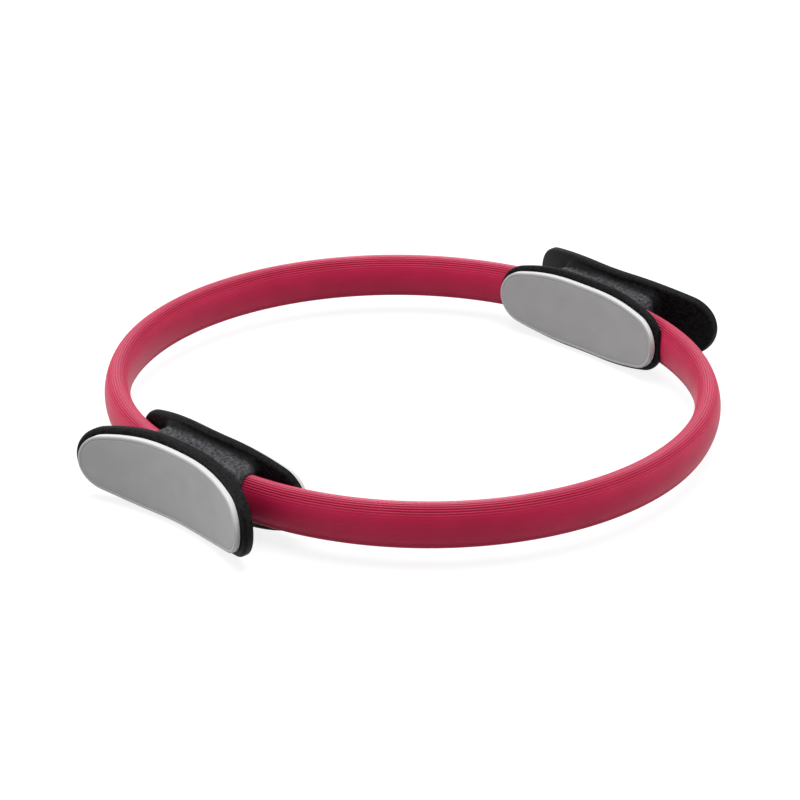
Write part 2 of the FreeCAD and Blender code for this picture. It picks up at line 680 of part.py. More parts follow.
# The four screws that draw a handle's shells together: a pan head, a cross recess and a point.
def make_screws(name, turned):
    body = new_body(name)
    middle = {"x": "sizes.screw_spread_along / 2", "y": f"{SCREW_SPREAD_UP} / 2"}
    add_primitive(
        body,
        "AdditiveCylinder",
        f"{name}_head",
        {"Radius": "sizes.screw_head_diameter / 2", "Height": "sizes.screw_head_height"},
        z=f"-{SCREW_SEAT}",
        **middle,
    )
    top = evaluate(f"{SCREW_SEAT} - sizes.screw_head_height")
    tolerance = evaluate("sizes.screw_clearance") / 10
    head_round = "min(sizes.screw_head_edge_radius; sizes.screw_head_height * sizes.round_limit_share)"
    round_edges(
        body,
        f"{name}_head_edge",
        head_round,
        lambda edge: all(abs(point.y - top) < tolerance for point in edge_points(edge)),
    )
    add_primitive(
        body,
        "AdditiveCylinder",
        f"{name}_shank",
        {"Radius": "sizes.screw_diameter / 2", "Height": "sizes.screw_length - sizes.screw_tip_length"},
        z=f"-({SCREW_TIP} - sizes.screw_tip_length)",
        **middle,
    )
    add_primitive(
        body,
        "AdditiveCone",
        f"{name}_point",
        {
            "Radius1": "sizes.screw_tip_diameter / 2",
            "Radius2": "sizes.screw_diameter / 2",
            "Height": "sizes.screw_tip_length",
        },
        z=f"-{SCREW_TIP}",
        **middle,
    )
    floor = f"-({SCREW_SEAT} - sizes.screw_head_height + sizes.screw_recess_depth)"
    arms = (("sizes.screw_recess_length", "sizes.screw_recess_width"),
            ("sizes.screw_recess_width", "sizes.screw_recess_length"))
    for number, (along, up) in enumerate(arms, start=1):
        add_primitive(
            body,
            "SubtractiveBox",
            f"{name}_recess_{number}",
            {"Length": along, "Width": up, "Height": "sizes.screw_recess_depth + sizes.overrun"},
            x=f"{middle['x']} - {along} / 2",
            y=f"{middle['y']} - {up} / 2",
            z=floor,
        )
    mirror(body, f"{name}_pair", "YZ_Plane")
    mirror(body, f"{name}_set", "XY_Plane")
    place(body, turned)
    return body


# The two rivets that join both bands inside a handle.
def make_rivets(name, turned):
    body = new_body(name)
    head_inside = f"({BAND_INSIDE} - sizes.rivet_head_height)"
    head_outside = f"({BAND_OUTSIDE} + sizes.rivet_head_height)"
    pieces = (
        ("shank", "sizes.rivet_diameter", BAND_INSIDE, BAND_OUTSIDE),
        ("inner_head", "sizes.rivet_head_diameter", head_inside, BAND_INSIDE),
        ("outer_head", "sizes.rivet_head_diameter", BAND_OUTSIDE, head_outside),
    )
    for part, diameter, start, end in pieces:
        add_primitive(
            body,
            "AdditiveCylinder",
            f"{name}_{part}",
            {"Radius": f"{diameter} / 2", "Height": f"{end} - {start}"},
            x="sizes.rivet_spread / 2",
            z=f"-{end}",
        )
    ends = [evaluate(end) for end in (head_inside, head_outside)]
    tolerance = evaluate("sizes.rivet_hole_clearance") / 10
    head_round = "min(sizes.rivet_head_edge_radius; sizes.rivet_head_height * sizes.round_limit_share)"
    round_edges(
        body,
        f"{name}_head_edges",
        head_round,
        lambda edge: any(
            all(abs(point.y - end) < tolerance for point in edge_points(edge))
            for end in ends
        ),
    )
    mirror(body, f"{name}_pair", "YZ_Plane")
    place(body, turned)
    return body


subparts = [
    make_band("outer_band", f"({BAND_OUTSIDE} - sizes.band_thickness)", True),
    make_band("inner_band", BAND_INSIDE, False),
    make_sleeve("right_sleeve", False),
    make_sleeve("left_sleeve", True),
]
for side, turned in (("front", True), ("rear", False)):
    for place_name, outer in (("outer", True), ("inner", False)):
        subparts.append(make_shell(f"{side}_{place_name}_shell", outer, turned))
        subparts.append(make_layer(f"{side}_{place_name}_pad", outer, True, turned))
        subparts.append(make_layer(f"{side}_{place_name}_pad_film", outer, False, turned))
    subparts.append(make_screws(f"{side}_shell_screws", turned))
    subparts.append(make_rivets(f"{side}_band_rivets", turned))
doc.recompute()

for thing in doc.Objects:
    if "Invalid" in thing.State or "Error" in thing.State:
        raise RuntimeError(f"{thing.Name} failed: {thing.State}")
for body in subparts:
    if body.Shape.isNull() or not body.Shape.isValid():
        raise RuntimeError(f"{body.Label} has no valid shape")

os.makedirs("parts", exist_ok=True)
for body in subparts:
    body.Shape.exportStep(f"parts/{body.Label}.step")
    print(body.Label, "solids", len(body.Shape.Solids), "volume", round(body.Shape.Volume))
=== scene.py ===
import math

import bmesh
import bpy
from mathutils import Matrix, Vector


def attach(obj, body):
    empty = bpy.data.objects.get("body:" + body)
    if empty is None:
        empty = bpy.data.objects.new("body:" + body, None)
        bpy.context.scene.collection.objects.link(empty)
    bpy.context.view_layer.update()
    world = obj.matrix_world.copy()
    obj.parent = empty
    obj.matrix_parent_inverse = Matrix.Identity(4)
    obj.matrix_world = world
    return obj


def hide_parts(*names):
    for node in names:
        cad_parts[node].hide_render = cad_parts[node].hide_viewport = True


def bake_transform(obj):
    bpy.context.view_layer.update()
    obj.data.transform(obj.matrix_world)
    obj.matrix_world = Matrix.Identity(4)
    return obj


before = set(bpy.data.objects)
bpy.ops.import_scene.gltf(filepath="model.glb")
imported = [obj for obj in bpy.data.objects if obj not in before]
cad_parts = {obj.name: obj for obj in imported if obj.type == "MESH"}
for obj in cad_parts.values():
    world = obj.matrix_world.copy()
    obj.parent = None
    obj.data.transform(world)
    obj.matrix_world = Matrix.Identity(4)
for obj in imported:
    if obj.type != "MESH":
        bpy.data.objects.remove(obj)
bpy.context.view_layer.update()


# Spring bands.
# Two flat strips of glass fibre in resin, bent one inside the other, which give the hoop its spring.
# Each is open inside one handle, and two rivets in each handle hold the strips together.

hoop_middle = 0.0255  # height of the hoop's mid-plane over the floor
hoop_flat = 0.028  # straight run of the hoop inside each handle
handle_side = {"front": -1, "rear": 1}
fibre_straw, fibre_pale = (0.50, 0.43, 0.26), (0.70, 0.65, 0.47)
strand_stretch = 0.01  # how slowly the strands change along a band, against across it


def add_node(tree, kind, inputs=None, **settings):
    """A node with its settings. Each input takes a plain value or the socket that feeds it."""
    node = tree.nodes.new(kind)
    for name, value in settings.items():
        setattr(node, name, value)
    for key, value in (inputs or {}).items():
        if isinstance(value, bpy.types.NodeSocket):
            tree.links.new(value, node.inputs[key])
        else:
            node.inputs[key].default_value = value
    return node


def calc(tree, operation, *terms):
    """The result of one step of arithmetic on numbers and sockets."""
    return add_node(tree, "ShaderNodeMath", dict(enumerate(terms)), operation=operation).outputs[0]


def xyz(tree, vector):
    """The three numbers of a vector, by the names of their axes."""
    return add_node(tree, "ShaderNodeSeparateXYZ", {"Vector": vector}).outputs


def point(tree, x, y, z=0.0):
    """A vector put together from numbers and sockets."""
    return add_node(tree, "ShaderNodeCombineXYZ", {"X": x, "Y": y, "Z": z}).outputs[0]


def speckle(tree, place, scale, detail=2.0, roughness=0.5):
    """Noise of about scale cells to the metre, from 0 to 1."""
    inputs = {"Vector": place, "Scale": scale, "Detail": detail, "Roughness": roughness}
    return add_node(tree, "ShaderNodeTexNoise", inputs).outputs["Fac"]


def spread(tree, value, low, high):
    """A noise value stretched from its usual band to low and high."""
    inputs = {"Value": value, "From Min": 0.3, "From Max": 0.7, "To Min": low, "To Max": high}
    return add_node(tree, "ShaderNodeMapRange", inputs).outputs["Result"]


def tones(tree, share, first, second):
    """A colour between two tones, given as the share of the second. A tone is a colour or a socket."""
    share_socket, first_socket, second_socket, result_socket = 0, 6, 7, 2  # of a Mix node set to colours
    inputs = {share_socket: share}
    for key, tone in ((first_socket, first), (second_socket, second)):
        inputs[key] = tone if isinstance(tone, bpy.types.NodeSocket) else (*tone, 1)
    return add_node(tree, "ShaderNodeMix", inputs, data_type="RGBA").outputs[result_socket]


def new_finish(name, **sockets):
    """A material whose shader sockets that are the same all over are set here."""
    finish = bpy.data.materials.new(name)
    finish.use_nodes = True
    tree = finish.node_tree
    shader = tree.nodes["Principled BSDF"]
    for socket, value in sockets.items():
        shader.inputs[socket.replace("_", " ")].default_value = value
    return finish, tree, shader


def feed(tree, shader, colour, roughness, height, depth):
    """Colour, roughness and a bump of that depth, in metres, for a shader."""
    bump = add_node(tree, "ShaderNodeBump", {"Height": height, "Distance": depth})
    tree.links.new(colour, shader.inputs["Base Color"])
    tree.links.new(roughness, shader.inputs["Roughness"])
    tree.links.new(bump.outputs["Normal"], shader.inputs["Normal"])


def new_piece(name, mesh):
    piece = bpy.data.objects.new(name, mesh)
    bpy.context.scene.collection.objects.link(piece)
    return piece


def bend_to_handle(piece):
    """The piece's place is baked into its mesh."""
    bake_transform(piece)


glass_fibre, tree, shader = new_finish("straw_glass_fibre", Specular_IOR_Level=0.5)
place = add_node(tree, "ShaderNodeTexCoord").outputs["Object"]
across = xyz(tree, place)
sideways = calc(tree, "ABSOLUTE", across["X"])
past_flat = calc(tree, "MAXIMUM", calc(tree, "SUBTRACT", sideways, hoop_flat / 2), 0)
ray = point(tree, past_flat, across["Y"])
radius = add_node(tree, "ShaderNodeVectorMath", {0: ray}, operation="LENGTH").outputs["Value"]
drift = calc(tree, "MULTIPLY", calc(tree, "ADD", across["X"], across["Y"]), strand_stretch)
strands = speckle(tree, point(tree, radius, across["Z"], drift), scale=2600, detail=4)
feed(
    tree, shader, tones(tree, spread(tree, strands, low=0, high=1), fibre_straw, fibre_pale),
    roughness=spread(tree, strands, low=0.32, high=0.48), height=strands, depth=0.00006,
)

for band in ("outer_band", "inner_band"):
    for handle, side in handle_side.items():
        half = bmesh.new()
        half.from_mesh(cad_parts[band].data)
        bmesh.ops.remove_doubles(half, verts=half.verts, dist=1e-6)
        cut = bmesh.ops.bisect_plane(
            half, geom=[*half.verts, *half.edges, *half.faces], plane_co=(0, 0, 0), plane_no=(0, side, 0),
            clear_inner=True,
        )
        rim = [edge for edge in cut["geom_cut"] if isinstance(edge, bmesh.types.BMEdge)]
        bmesh.ops.holes_fill(half, edges=rim)
        mesh = bpy.data.meshes.new(f"{band}_{handle}_half")
        half.to_mesh(mesh)
        half.free()
        mesh.shade_smooth()
        mesh.set_sharp_from_angle(angle=math.radians(30))
        mesh.materials.clear()
        mesh.materials.append(glass_fibre)
        piece = new_piece(f"{band}_{handle}_half", mesh)
        bend_to_handle(piece)
        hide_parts(band)


# Sleeves.
# Soft foam-rubber tube with a flat slot for the bands, one length on each side of the hoop, extruded with
# fine ribs along its upper and lower crests. Its ends are pushed into sockets in the handles.

hoop_radius = 0.1682
sleeve_thickness, sleeve_height, crest_radius = 0.0156, 0.028, 0.0056
sleeve_end_stop = 0.0133  # how far along X the end stops short of the hoop's straight run
rubber_dark, rubber_light = (0.39, 0.006, 0.045), (0.48, 0.012, 0.064)
# The crests' paler pink is a painted highlight, as if they caught the top light, and the grooves' dark tone
# is painted shade.
crest_highlight_pink, groove_painted_shade = (0.51, 0.032, 0.098), (0.22, 0.004, 0.024)
crest_highlight_amount, groove_shade_amount = 0.75, 0.5  # how far the painted highlight on the crests and the painted shade in the grooves take over the tone
plain_gloss, crest_gloss, crest_polish = 0.22, 0.36, 0.22  # the crests shine more than the sides
streak_stretch = 0.03  # how slowly the die's streaks change along the sleeve, against across it


def together(tree, first, share, second):
    """Two noises added up, of which the first has that share of the whole."""
    rest = calc(tree, "MULTIPLY", second, 1 - share)
    return calc(tree, "ADD", calc(tree, "MULTIPLY", first, share), rest)


def fade_out(tree, value, start, end):
    """1 up to the start, eased down to 0 at the end."""
    inputs = {"Value": value, "From Min": start, "From Max": end, "To Min": 1.0, "To Max": 0.0}
    return add_node(tree, "ShaderNodeMapRange", inputs, interpolation_type="SMOOTHSTEP").outputs["Result"]


def store(tree, geometry, name, value, kind="FLOAT"):
    """The geometry with a named attribute on its points."""
    inputs = {"Geometry": geometry, "Name": name, "Value": value}
    settings = {"data_type": kind, "domain": "POINT"}
    return add_node(tree, "GeometryNodeStoreNamedAttribute", inputs, **settings).outputs[0]


rubber, tree, shader = new_finish("crimson_foam_rubber", Sheen_Weight=0.05, Sheen_Roughness=0.4)
grain = add_node(tree, "ShaderNodeAttribute", attribute_name="grain").outputs["Vector"]
groove = add_node(tree, "ShaderNodeAttribute", attribute_name="groove").outputs["Fac"]
crest = add_node(tree, "ShaderNodeAttribute", attribute_name="crest").outputs["Fac"]
place = add_node(tree, "ShaderNodeTexCoord").outputs["Object"]
clouds = speckle(tree, place, scale=60, detail=3)
streaks = speckle(tree, grain, scale=1500, detail=3)
cells = speckle(tree, place, scale=3200)
mottle = spread(tree, together(tree, clouds, 0.6, streaks), low=0, high=1)
side_tone = tones(tree, mottle, rubber_dark, rubber_light)
# Painted highlight: the crests are mixed towards a paler pink.
crest_highlight_tone = tones(tree, calc(tree, "MULTIPLY", crest, crest_highlight_amount), side_tone, crest_highlight_pink)
# Painted shade darkens the grooves between the ribs, on top of the painted highlight on the crests.
rib_tone_painted_light = tones(tree, calc(tree, "MULTIPLY", groove, groove_shade_amount), crest_highlight_tone, groove_painted_shade)
dullness = spread(tree, cells, low=0.46, high=0.58)
feed(
    tree, shader, rib_tone_painted_light,
    roughness=calc(tree, "SUBTRACT", dullness, calc(tree, "MULTIPLY", crest, crest_polish)),
    height=together(tree, cells, 0.6, streaks), depth=0.00012,
)
gloss = calc(tree, "ADD", plain_gloss, calc(tree, "MULTIPLY", crest, crest_gloss))
tree.links.new(gloss, shader.inputs["Specular IOR Level"])

sleeve_tree = bpy.data.node_groups.new("ribbed_sleeve", "GeometryNodeTree")
sleeve_input = {}
for name, kind in (
    ("Hoop Radius", "Float"), ("Arc Centre", "Vector"), ("Start Angle", "Float"), ("Sweep Angle", "Float"),
    ("Length Rings", "Int"), ("Thickness", "Float"), ("Height", "Float"), ("Crest Radius", "Float"),
    ("Outline Points", "Int"), ("Points per Rib", "Int"), ("Rib Depth", "Float"),
    ("Ribbed Reach", "Float"), ("Rib Fade", "Float"), ("Crest Reach", "Float"),
    ("Slot Thickness", "Float"), ("Slot Height", "Float"), ("Rubber", "Material"),
):
    socket = sleeve_tree.interface.new_socket(name=name, in_out="INPUT", socket_type=f"NodeSocket{kind}")
    sleeve_input[name] = socket.identifier
sleeve_tree.interface.new_socket(name="Sleeve", in_out="OUTPUT", socket_type="NodeSocketGeometry")
tree = sleeve_tree
given = add_node(tree, "NodeGroupInput").outputs
position = add_node(tree, "GeometryNodeInputPosition").outputs[0]

# The section is an oval of four arcs: a round crest above and below, and a shallow arc on each side.
half_thickness = calc(tree, "MULTIPLY", given["Thickness"], 0.5)
half_height = calc(tree, "MULTIPLY", given["Height"], 0.5)
crest_centre = calc(tree, "SUBTRACT", half_height, given["Crest Radius"])
squares = calc(tree, "ADD", calc(tree, "POWER", half_thickness, 2), calc(tree, "POWER", crest_centre, 2))
side_radius = calc(
    tree, "DIVIDE", calc(tree, "SUBTRACT", squares, calc(tree, "POWER", given["Crest Radius"], 2)),
    calc(tree, "MULTIPLY", calc(tree, "SUBTRACT", half_thickness, given["Crest Radius"]), 2),
)
side_centre = calc(tree, "SUBTRACT", side_radius, half_thickness)
side_turn = calc(tree, "DIVIDE", crest_centre, calc(tree, "SUBTRACT", side_radius, given["Crest Radius"]))
circle = add_node(
    tree, "GeometryNodeCurvePrimitiveCircle", {"Resolution": 720, "Radius": 1.0}, mode="RADIUS"
).outputs["Curve"]
facing = xyz(tree, position)
side_shift = calc(tree, "MULTIPLY", calc(tree, "SIGN", facing["X"]), side_centre)
side_point = point(
    tree, calc(tree, "SUBTRACT", calc(tree, "MULTIPLY", facing["X"], side_radius), side_shift),
    calc(tree, "MULTIPLY", facing["Y"], side_radius),
)
crest_shift = calc(tree, "MULTIPLY", calc(tree, "SIGN", facing["Y"]), crest_centre)
crest_point = point(
    tree, calc(tree, "MULTIPLY", facing["X"], given["Crest Radius"]),
    calc(tree, "ADD", calc(tree, "MULTIPLY", facing["Y"], given["Crest Radius"]), crest_shift),
)
on_side = calc(tree, "LESS_THAN", calc(tree, "ABSOLUTE", facing["Y"]), side_turn)
oval_point = add_node(
    tree, "GeometryNodeSwitch", {"Switch": on_side, "False": crest_point, "True": side_point},
    input_type="VECTOR",
).outputs[0]
oval = add_node(tree, "GeometryNodeSetPosition", {"Geometry": circle, "Position": oval_point}).outputs[0]
outline = add_node(
    tree, "GeometryNodeResampleCurve", {"Curve": oval, "Count": given["Outline Points"]}, mode="COUNT"
).outputs[0]

# Ribs: grooves sunk into the outline near the crests, counted along it from the crest.
girth = add_node(tree, "GeometryNodeSplineLength").outputs["Length"]
walked = add_node(tree, "GeometryNodeSplineParameter").outputs["Length"]
half_girth, quarter_girth = (calc(tree, "MULTIPLY", girth, share) for share in (0.5, 0.25))
from_side = calc(tree, "MODULO", walked, half_girth)
from_crest = calc(tree, "ABSOLUTE", calc(tree, "SUBTRACT", from_side, quarter_girth))
rib_pitch = calc(
    tree, "DIVIDE", calc(tree, "MULTIPLY", girth, given["Points per Rib"]), given["Outline Points"]
)
rib_turn = calc(tree, "MULTIPLY", calc(tree, "DIVIDE", from_crest, rib_pitch), math.pi)
rib_wave = calc(tree, "ABSOLUTE", calc(tree, "COSINE", rib_turn))
ribs_end = calc(tree, "ADD", given["Ribbed Reach"], given["Rib Fade"])
rib_share = fade_out(tree, from_crest, given["Ribbed Reach"], ribs_end)
groove_share = calc(tree, "MULTIPLY", calc(tree, "SUBTRACT", 1.0, rib_wave), rib_share)
crest_share = fade_out(tree, from_crest, 0.0, given["Crest Reach"])
tangent = xyz(tree, add_node(tree, "GeometryNodeInputTangent").outputs[0])
outward = point(tree, tangent["Y"], calc(tree, "MULTIPLY", tangent["X"], -1))
groove_rise = calc(tree, "MULTIPLY", calc(tree, "MULTIPLY", groove_share, given["Rib Depth"]), -1)
sink = add_node(
    tree, "ShaderNodeVectorMath", {"Vector": outward, "Scale": groove_rise}, operation="SCALE"
).outputs["Vector"]
marked = store(tree, outline, "groove", groove_share)
marked = store(tree, marked, "crest", crest_share)
marked = store(tree, marked, "section", position, "FLOAT_VECTOR")
ribbed = add_node(tree, "GeometryNodeSetPosition", {"Geometry": marked, "Offset": sink}).outputs[0]

# The outline and the slot are swept along the hoop's arc.
arc = add_node(tree, "GeometryNodeCurveArc", {
    "Resolution": given["Length Rings"], "Radius": given["Hoop Radius"],
    "Start Angle": given["Start Angle"], "Sweep Angle": given["Sweep Angle"],
}, mode="RADIUS").outputs["Curve"]
placed = add_node(tree, "GeometryNodeTransform", {"Geometry": arc, "Translation": given["Arc Centre"]})
path = add_node(tree, "GeometryNodeSetCurveNormal", {"Curve": placed.outputs[0]}, mode="Z_UP").outputs[0]
tube = add_node(tree, "GeometryNodeCurveToMesh", {"Curve": path, "Profile Curve": ribbed}).outputs[0]
section = xyz(tree, add_node(
    tree, "GeometryNodeInputNamedAttribute", {"Name": "section"}, data_type="FLOAT_VECTOR"
).outputs["Attribute"])
along = calc(tree, "MULTIPLY", xyz(tree, position)["Y"], streak_stretch)
tube = store(tree, tube, "grain", point(tree, section["X"], section["Y"], along), "FLOAT_VECTOR")
slot = add_node(
    tree, "GeometryNodeCurvePrimitiveQuadrilateral",
    {"Width": given["Slot Thickness"], "Height": given["Slot Height"]},
).outputs[0]
bore = add_node(tree, "GeometryNodeCurveToMesh", {"Curve": path, "Profile Curve": slot}).outputs[0]
bore = add_node(tree, "GeometryNodeFlipFaces", {"Mesh": bore}).outputs[0]
walls = add_node(tree, "GeometryNodeJoinGeometry")
for wall in (bore, tube):
    tree.links.new(wall, walls.inputs[0])
smooth = add_node(tree, "GeometryNodeSetShadeSmooth", {"Geometry": walls.outputs[0]}).outputs[0]
whole = add_node(tree, "GeometryNodeRealizeInstances", {"Geometry": smooth}).outputs[0]
coated = add_node(tree, "GeometryNodeSetMaterial", {"Geometry": whole, "Material": given["Rubber"]})
add_node(tree, "NodeGroupOutput", {"Sleeve": coated.outputs[0]})

# Each length is made as two halves, which meet where the hoop is widest, one half at each handle.
quarter = math.pi / 2 - math.asin(sleeve_end_stop / hoop_radius)
join_slack = 0.001  # how far a swept end may stand off the plane where the halves meet
sleeve_halves = (
    ("right", "rear", 1, 0.0), ("right", "front", 1, -quarter),
    ("left", "rear", -1, math.pi - quarter), ("left", "front", -1, math.pi),
)
for sleeve, handle, across_side, start_angle in sleeve_halves:
    piece = new_piece(f"{sleeve}_sleeve_{handle}_half", bpy.data.meshes.new("sleeve_blank"))
    sweep = piece.modifiers.new("sleeve", "NODES")
    sweep.node_group = sleeve_tree
    for name, value in (
        ("Hoop Radius", hoop_radius), ("Arc Centre", (across_side * hoop_flat / 2, 0, hoop_middle)),
        ("Start Angle", start_angle), ("Sweep Angle", quarter), ("Length Rings", 110),
        ("Thickness", sleeve_thickness), ("Height", sleeve_height), ("Crest Radius", crest_radius),
        ("Outline Points", 322), ("Points per Rib", 7), ("Rib Depth", 0.00055),
        ("Ribbed Reach", 0.0045), ("Rib Fade", 0.0075), ("Crest Reach", 0.0062),
        ("Slot Thickness", 0.0055), ("Slot Height", 0.0185), ("Rubber", rubber),
    ):
        sweep[sleeve_input[name]] = value
    mesh = bpy.data.meshes.new_from_object(piece.evaluated_get(bpy.context.evaluated_depsgraph_get()))
    piece.modifiers.clear()
    piece.data = mesh

    # Each end is closed between the outline and the slot, and the halves meet flat in the middle.
    tube = bmesh.new()
    tube.from_mesh(mesh)
    handle_end, join_end = [], []
    for edge in tube.edges:
        if edge.is_boundary:
            at_join = max(abs(vert.co.y) for vert in edge.verts) < join_slack
            (join_end if at_join else handle_end).append(edge)
    for edge in join_end:
        for vert in edge.verts:
            vert.co.y = 0
    for end in (handle_end, join_end):
        bmesh.ops.bridge_loops(tube, edges=end)
    bmesh.ops.recalc_face_normals(tube, faces=tube.faces)
    tube.to_mesh(mesh)
    tube.free()
    mesh.set_sharp_from_angle(angle=math.radians(55))
    bend_to_handle(piece)
    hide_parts(f"{sleeve}_sleeve")


# Handle shells.
# Each handle is two mouldings of black plastic, each a bowed flange with half of the waist behind it. They
# meet at the hoop, and four screws draw them together round the sleeve ends. The waist is moulded with a
# coarse grain for the fingers, and the flanges are smoother. The waist's tones are paler than the flanges':
# partly its grain, and partly painted light for the light that falls on its top.

flange_black, flange_grain = (0.0003, 0.0003, 0.0004), (0.012, 0.012, 0.0132)
waist_black_with_painted_light, waist_grain_with_painted_light = (0.018, 0.018, 0.0198), (0.11, 0.11, 0.119)
waist_from_inner, waist_from_outer = (0.1615, 0.1645), (0.178, 0.1745)  # along Y, where its paler tone of grain and painted light sets in
grain_floor, grain_top = 0.38, 0.66  # heights of the grain at which its tone is darkest and palest


def ramp(tree, value, start, end):
    """0 at the start and 1 at the end, and level beyond them."""
    inputs = {"Value": value, "From Min": start, "From Max": end}
    return add_node(tree, "ShaderNodeMapRange", inputs).outputs["Result"]


plastic, tree, shader = new_finish("black_grained_plastic", Specular_IOR_Level=0.05)
place = add_node(tree, "ShaderNodeTexCoord").outputs["Object"]
moulded = speckle(tree, place, scale=520, detail=5, roughness=0.7)
outwards = calc(tree, "ABSOLUTE", xyz(tree, place)["Y"])
past_inner, past_outer = (ramp(tree, outwards, *edge) for edge in (waist_from_inner, waist_from_outer))
raised = ramp(tree, moulded, grain_floor, grain_top)
flange_tone = tones(tree, raised, flange_black, flange_grain)
# Painted light: the waist's tones are lifted above the flanges', for the light that falls on its top.
waist_tone_with_painted_light = tones(tree, raised, waist_black_with_painted_light, waist_grain_with_painted_light)
feed(
    tree, shader, tones(tree, calc(tree, "MULTIPLY", past_inner, past_outer), flange_tone, waist_tone_with_painted_light),
    roughness=spread(tree, moulded, low=0.42, high=0.58), height=moulded, depth=0.0003,
)
for handle in handle_side:
    for where in ("outer", "inner"):
        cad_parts[f"{handle}_{where}_shell"].data.materials[0] = plastic


# Pads.
# Plates of closed-cell foam with a pressed, rounded edge, which follow the bow of the flanges. Each is stuck
# to its flange with a thin film of adhesive.

pad_thickness, pad_crown, crown_power = 0.0041, 0.0004, 4
edge_round, edge_steps = 0.0011, 6
highlight_steps, least_highlight = 4, 0.2  # the painted highlight on the edge fades over these steps to this share
crease_inset, crease_width, crease_depth = 0.0019, 0.0008, 0.00025  # a line pressed in just inside the edge
crease_steps = (  # place across the line, and the shares of its depth and of the edge's painted highlight there
    (0, 0, 0.2), (0.25, 0.7, 0.05), (0.5, 1, 0), (0.75, 0.7, 0), (1, 0, 0.05), (1.5, 0, 0),
)
back_shares = (0.05, 0.25, 0.5, 0.75, 0.93)  # loops across the back, as shares of the outline
face_shares = (0.98, 0.94, 0.86, 0.76, 0.62, 0.48, 0.34, 0.2, 0.08)  # and across the face
flat_share, round_share = 0.19, 0.8  # of the length and the half height, as on the flanges
flat_steps, shoulder_steps, end_steps = 6, 22, 18
pad_forms = {  # the Y of the bow's axis is the rear handle's
    "outer": {"length": 0.1366, "height": 0.044, "axis": 0.350105, "back_radius": 0.164705, "bow": -1},
    "inner": {"length": 0.1298, "height": 0.0442, "axis": -0.198329, "back_radius": 0.353729, "bow": 1},
}
# The pale edge tone is a painted highlight, laid all round the pads' rounded edges.
foam_dark, foam_light, foam_edge_highlight = (0.32, 0.32, 0.323), (0.36, 0.36, 0.363), (0.64, 0.64, 0.64)
glue_dark, glue_pale = (0.62, 0.58, 0.48), (0.76, 0.74, 0.67)

foam, tree, shader = new_finish("grey_foam", Specular_IOR_Level=0.2, Sheen_Weight=0.03)
place = add_node(tree, "ShaderNodeTexCoord").outputs["Object"]
rim = add_node(tree, "ShaderNodeAttribute", attribute_name="rim").outputs["Fac"]
clouds = speckle(tree, place, scale=70, detail=4)
cells = speckle(tree, place, scale=2400, detail=3, roughness=0.6)
mottle = spread(tree, together(tree, clouds, 0.7, cells), low=0, high=1)
face_tone = tones(tree, mottle, foam_dark, foam_light)
feed(
    # Painted highlight on the rounded edge, where the rim attribute is set.
    tree, shader, tones(tree, rim, face_tone, foam_edge_highlight),
    roughness=spread(tree, cells, low=0.5, high=0.64), height=cells, depth=0.00012,
)

adhesive, tree, shader = new_finish("pale_adhesive", Specular_IOR_Level=0.45)
place = add_node(tree, "ShaderNodeTexCoord").outputs["Object"]
smear = speckle(tree, place, scale=180, detail=4)
feed(
    tree, shader, tones(tree, spread(tree, smear, low=0, high=1), glue_dark, glue_pale),
    roughness=spread(tree, smear, low=0.35, high=0.6), height=smear, depth=0.0001,
)


def pad_outline(length, height, inset):
    """Points round a pad's oval, moved in by the inset."""
    up, end_radius = height / 2, height / 2 * round_share
    end_centre, flat = length / 2 - end_radius, length * flat_share / 2
    run = end_centre - flat
    shoulder = (run**2 + up**2 - end_radius**2) / (2 * (up - end_radius))
    turn = math.atan2(shoulder - up, run)
    steps = [(flat * i / flat_steps, up, math.pi / 2) for i in range(flat_steps)]
    for centre_x, centre_z, radius, first, last, count in (
        (flat, up - shoulder, shoulder, math.pi / 2, turn, shoulder_steps),
        (end_centre, 0, end_radius, turn, 0, end_steps),
    ):
        for i in range(count):
            angle = first + (last - first) * i / count
            steps.append((centre_x + radius * math.cos(angle), centre_z + radius * math.sin(angle), angle))
    tip = [(length / 2, 0, 0)]
    right = steps[1:] + tip + [(x, -z, -a) for x, z, a in reversed(steps[1:])]
    top, bottom = [(0, up, math.pi / 2)], [(0, -up, -math.pi / 2)]
    whole = top + right + bottom + [(-x, z, math.pi - a) for x, z, a in reversed(right)]
    return [(x - inset * math.cos(a), z - inset * math.sin(a)) for x, z, a in whole]


